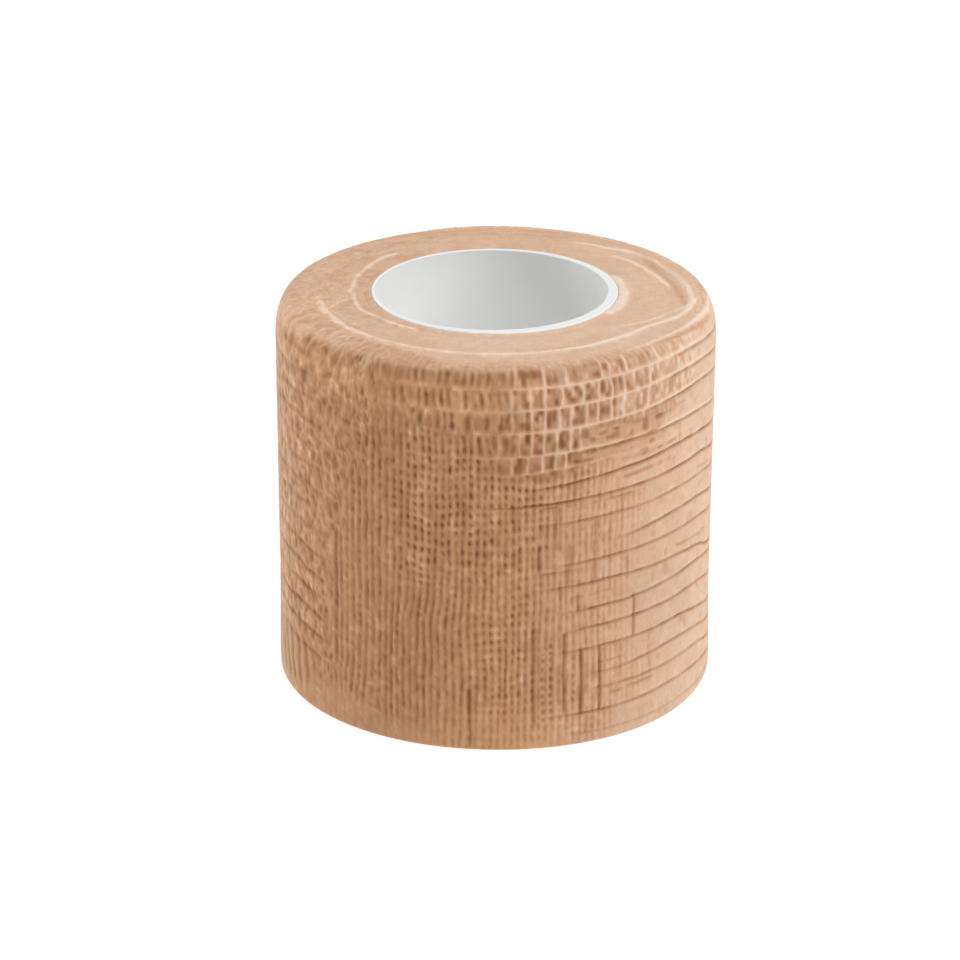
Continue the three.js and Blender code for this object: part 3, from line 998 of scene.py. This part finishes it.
def makeCore(material):
    outer = coreRadius
    inner = outer - coreTube["wall"]
    top = coreHigh[2]
    rim = coreTube["rim"]
    profile = []
    corners = [(inner + rim, top - rim, 180, 90), (outer - rim, top - rim, 90, 0),
               (outer - rim, rim, 0, -90), (inner + rim, rim, -90, -180)]
    for centreRadius, centreHeight, start, end in corners:
        for step in range(coreTube["rimSteps"] + 1):
            angle = math.radians(start + (end - start) * step / coreTube["rimSteps"])
            profile.append((centreRadius + rim * math.cos(angle), centreHeight + rim * math.sin(angle)))
    for part in (0.25, 0.5, 0.75):
        profile.append((inner, rim + (top - 2 * rim) * part))
    azimuth = np.arange(coreTube["columns"]) * 360 / coreTube["columns"]
    radius, height = (np.array(values)[:, None] + 0 * azimuth for values in zip(*profile))
    points = aroundAxis(radius, height, azimuth)
    ofBore = radius < outer - coreTube["wall"] / 2
    for axis, aside in enumerate(coreTube["boreAside"]):
        points[..., axis] += aside * ofBore
    uv = (np.radians(azimuth) * outer, lengthDown(points), 2 * math.pi * outer)
    piece = gridMesh("core_tube", material, points, uv, {}, pointNormals(points, True))
    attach(piece, "root")
    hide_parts("core")


# Cohesive crepe: nonwoven of short fibres, dip-coated with latex and crinkled by its elastic threads.
# It is dead matt with a faint fuzz, the shader's sheen, which pales it towards its outline. Its colour
# goes from warm brown on the lowest relief to pale on the highest: painted shade in gaps, pits and creases
# and painted light on ribs. The pale colours serve stretched smooth cloth and, as painted sheen and light,
# the end face, the left outline and the right side.
crepeLook = {
    # relief level to colour: the dark stops of low relief are painted shade, the light stops of high relief
    # painted light; the second colour column is for stretched cloth and for painted sheen
    "stops": table(
        "relief slack stretched",
        (0, "8B5C3C", "A0704E"),
        (0.35, "A67550", "C19473"),
        (0.75, "C38D64", "DBB495"),
        (0.9, "CF9D75", "E8C9B0"),
        (1, "E6BE9C", "F5DFCD"),
    ),
    "fibre": 0.24,  # mm, fibre clumps, as single fibres are ten times finer and wouldn't show
    "fibreLong": 0.8,
    "fibreTones": (0.93, 1.06),
    "mottle": 1.6,  # mm, soft changes of tone
    "mottleTones": (0.95, 1.05),
    "bump": 0.6,
    "bumpHeight": 0.04,  # mm
    "roughness": 0.88,
    "sheen": 0.4,
    "sheenRoughness": 0.5,
    "sheenColour": "FFE0C4",
    "ior": 1.5,
    "specular": 0.2,
}


def makeCrepe():
    look = crepeLook
    material, tree = newMaterial("latex_dipped_nonwoven_crepe")
    fields = [addNode(tree, "Attribute", {"attribute_name": name}) for name in ("relief", "paleAndSheen", "toneAndPaintedLight")]
    relief, paleAndSheen, toneAndPaintedLight = (field.outputs["Fac"] for field in fields)
    ramps = []
    for cloth in ("slack", "stretched"):
        ramp = addNode(tree, "ValToRGB", None, {"Fac": relief})
        elements = ramp.color_ramp.elements  # it has its two ends already
        for stop in look["stops"][1:-1]:
            elements.new(stop["relief"])
        for element, stop in zip(elements, look["stops"]):
            element.color = hexColour(stop[cloth])
        ramps.append(ramp)
    tone = addNode(tree, "Mix", {"data_type": "RGBA"}, {
        "Factor": paleAndSheen,
        6: ramps[0].outputs["Color"],
        7: ramps[1].outputs["Color"],
    })

    # UV units are 100 mm, so a pattern of s mm has the scale 100 / s
    place = addNode(tree, "UVMap", {"uv_map": "strip"})
    squeeze = addNode(tree, "Mapping", {"Scale": (1, look["fibre"] / look["fibreLong"], 1)},
                      {"Vector": place.outputs[0]})
    fibres = addNode(tree, "TexNoise", {
        "Scale": 100 / look["fibre"],
        "Detail": 3,
        "Roughness": 0.6,
    }, {"Vector": squeeze.outputs[0]})
    mottle = addNode(tree, "TexNoise", {"Scale": 100 / look["mottle"], "Detail": 2.0},
                     {"Vector": place.outputs[0]})
    spread = {"From Min": 0.3, "From Max": 0.7}  # most of a noise lies between these
    factors = [toneAndPaintedLight]
    for pattern, tones in ((fibres, look["fibreTones"]), (mottle, look["mottleTones"])):
        factor = addNode(tree, "MapRange", {**spread, "To Min": tones[0], "To Max": tones[1]},
                         {"Value": pattern.outputs["Fac"]})
        factors.append(factor.outputs[0])
    colour = tone.outputs[2]
    for factor in factors:
        scaled = addNode(tree, "VectorMath", {"operation": "SCALE"}, {0: colour, "Scale": factor})
        colour = scaled.outputs[0]
    bump = addNode(tree, "Bump", {"Strength": look["bump"], "Distance": look["bumpHeight"] * mm},
                   {"Height": fibres.outputs["Fac"]})
    shader = addNode(tree, "BsdfPrincipled", {
        "Roughness": look["roughness"],
        "IOR": look["ior"],
        "Specular IOR Level": look["specular"],
        "Sheen Weight": look["sheen"],
        "Sheen Roughness": look["sheenRoughness"],
        "Sheen Tint": hexColour(look["sheenColour"]),
    }, {"Base Color": colour, "Normal": bump.outputs[0]})
    addNode(tree, "OutputMaterial", None, {"Surface": shader.outputs[0]})
    return material


# Polystyrene, injection moulded: white, satin, with a very fine grain from the mould
plasticLook = {
    "colour": "FBFBFA",
    "roughness": (0.38, 0.48),
    "ior": 1.59,
    "grain": 0.5,  # mm
    "bump": 0.15,
    "bumpHeight": 0.01,  # mm
}


def makePlastic():
    look = plasticLook
    material, tree = newMaterial("moulded_white_polystyrene")
    place = addNode(tree, "UVMap", {"uv_map": "strip"})
    grain = addNode(tree, "TexNoise", {"Scale": 100 / look["grain"], "Detail": 2.0},
                    {"Vector": place.outputs[0]})
    smoothest, roughest = look["roughness"]
    gloss = addNode(tree, "MapRange", {"To Min": smoothest, "To Max": roughest},
                    {"Value": grain.outputs["Fac"]})
    bump = addNode(tree, "Bump", {"Strength": look["bump"], "Distance": look["bumpHeight"] * mm},
                   {"Height": grain.outputs["Fac"]})
    shader = addNode(tree, "BsdfPrincipled", {
        "Base Color": hexColour(look["colour"]),
        "IOR": look["ior"],
    }, {"Roughness": gloss.outputs[0], "Normal": bump.outputs[0]})
    addNode(tree, "OutputMaterial", None, {"Surface": shader.outputs[0]})
    return material


makeCamera()
makeStudio()
crepeMaterial = makeCrepe()
makeOuterTurns(crepeMaterial)
makeInnerTurns(crepeMaterial)
makeCore(makePlastic())
